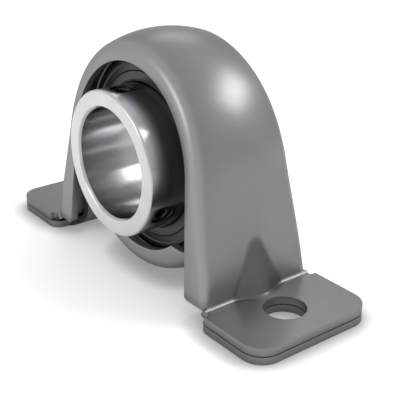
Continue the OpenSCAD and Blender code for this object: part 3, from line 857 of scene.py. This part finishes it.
# Darker than the polished steel: painted shade for the outer ring inside the housing.
GROUND_IN_PAINTED_SHADE = turned_steel("ground_steel_painted_shade", (0.26, 0.265, 0.27), 0.32, 1800.0)
DARK_STEEL = turned_steel("dark_seal_steel", (0.09, 0.09, 0.092), 0.34, 1500.0, grooves=0.03)
RUBBER = speckled("black_seal_rubber", (0.012, 0.012, 0.013), (0.02, 0.02, 0.021),
                  metallic=0.0, roughness=0.5, scale=1800.0, height=0.03 * MM)
OXIDE = speckled("black_oxide_steel", (0.03, 0.03, 0.033), (0.05, 0.05, 0.055),
                 metallic=1.0, roughness=0.35, scale=2500.0, height=0.02 * MM)
NYLON = speckled("moulded_cage_nylon", (0.62, 0.57, 0.45), (0.70, 0.65, 0.53),
                 metallic=0.0, roughness=0.45, scale=900.0, height=0.03 * MM)


# Pieces, each on the body it moves with


def dress(obj, m):
    obj.data.materials.clear()
    obj.data.materials.append(m)


def add(obj, body, slot, m, *nodes):
    dress(obj, m)
    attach(obj, body)
    if nodes:
        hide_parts(*nodes)


add(upper_shell(), "housing", "zinc_plate", ZINC, "upper_shell")
add(strap(1), "housing", "zinc_plate", ZINC, "lower_shell")
add(strap(-1), "housing", "zinc_plate", ZINC)
add(cradle(), "housing", "zinc_plate", ZINC)
add(inner_ring(), "inner_race", "bearing_steel", POLISHED, "inner_ring")
add(outer_ring(), "outer_race", "bearing_steel", GROUND_IN_PAINTED_SHADE, "outer_ring")
for side in ("front", "rear"):
    add(seal_plate(side), "outer_race", "seal_steel", DARK_STEEL, "seal_plate_" + side)
    add(seal_lip(side), "outer_race", "rubber_black", RUBBER, "seal_lip_" + side)
add(set_screw("set_screw_top"), "top_screw", "black_oxide", OXIDE, "set_screw_top")
add(set_screw("set_screw_side"), "side_screw", "black_oxide", OXIDE, "set_screw_side")
for i in range(BALLS):
    dress(frame["nodes"][f"ball_{i + 1}"], POLISHED)
dress(frame["nodes"]["ball_cage"], NYLON)


# Floor, world, lamps and camera

WHITE = 1.0                                 # the strength that shows as white
DAYLIGHT = 0.95                             # the world's strength as a light
FLOOR_LIFT = 0.3                            # added to the floor where the camera or a reflection sees it
FLOOR_HALF, FLOOR_DROP = 3.0, 0.02 * MM
CONTACT_REACH = 7 * MM                      # how far the contact shadow reaches from the feet
CONTACT_SHADOW = [(0.3, grey(0.05)), (0.6, grey(0.25)), (0.8, grey(0.5)), (0.97, grey(0.75))]
UP = Vector((0, 0, 1))

CAMERA_PLACE = (0.188708, -0.135159, 0.119725)
CAMERA_YAW, CAMERA_PITCH = np.radians(142.521), np.radians(23.780)
SENSOR_MM, LENS_MM = 36, 80.30


def floor():
    s = FLOOR_HALF
    obj = new_object("studio_floor", [(-s, -s, 0), (s, -s, 0), (s, s, 0), (-s, s, 0)], [[0, 1, 2, 3]])
    m, shader = material("pale_floor", Roughness=1.0, Specular_IOR_Level=0.0, Emission_Color=(1, 1, 1, 1))
    link(m, ramp(m, openness(m, CONTACT_REACH, 12), CONTACT_SHADOW), shader.inputs["Base Color"])
    lift = combined(m, "MULTIPLY", seen_by(m, "Is Camera Ray", "Is Glossy Ray"), FLOOR_LIFT)
    link(m, lift, shader.inputs["Emission Strength"])
    dress(obj, m)
    obj.location.z = -FLOOR_DROP


def world():
    w = bpy.data.worlds.new("studio")
    bpy.context.scene.world = w
    w.use_nodes = True
    back = w.node_tree.nodes["Background"]
    back.inputs["Color"].default_value = (1, 1, 1, 1)
    strength = node(w, "ShaderNodeMapRange", To_Min=DAYLIGHT, To_Max=WHITE)
    seen = seen_by(w, "Is Camera Ray", "Is Glossy Ray", "Is Transmission Ray")
    link(w, seen, strength.inputs["Value"])
    link(w, strength.outputs["Result"], back.inputs["Strength"])


def lamp(name, place, size, watts, colour=(1, 1, 1)):
    """An upright soft box that faces the bearing."""
    light = bpy.data.lights.new(name, "AREA")
    light.shape = "RECTANGLE"
    light.size, light.size_y = size
    light.energy = watts
    light.color = colour
    obj = bpy.data.objects.new(name, light)
    bpy.context.scene.collection.objects.link(obj)
    away = (Vector(place) - AXIS_Z * UP).normalized()
    height = (UP - away * away.dot(UP)).normalized()
    obj.location = place
    obj.rotation_euler = Matrix((height.cross(away), height, away)).transposed().to_euler()


def camera():
    cam = bpy.data.cameras.new("camera")
    cam.sensor_width = SENSOR_MM
    cam.lens = LENS_MM
    cam.clip_start = 10 * MM
    obj = bpy.data.objects.new("camera", cam)
    bpy.context.scene.collection.objects.link(obj)
    obj.location = CAMERA_PLACE
    view = Vector((np.cos(CAMERA_YAW) * np.cos(CAMERA_PITCH), np.sin(CAMERA_YAW) * np.cos(CAMERA_PITCH),
                   -np.sin(CAMERA_PITCH)))
    obj.rotation_euler = view.to_track_quat("-Z", "Y").to_euler()
    bpy.context.scene.camera = obj


floor()
world()
lamp("key", (0.26, 0.44, 0.51), (0.42, 0.24), 2.2)
lamp("front", (-0.15, -0.64, 0.27), (0.35, 0.25), 0.85)
lamp("back", (-0.43, 0.34, 0.46), (0.22, 0.16), 0.3)
lamp("cool", (-0.14, 0.36, 0.62), (0.35, 0.35), 0.15, colour=(0.66, 0.8, 1.0))
camera()
bpy.context.scene.view_settings.view_transform = "Standard"
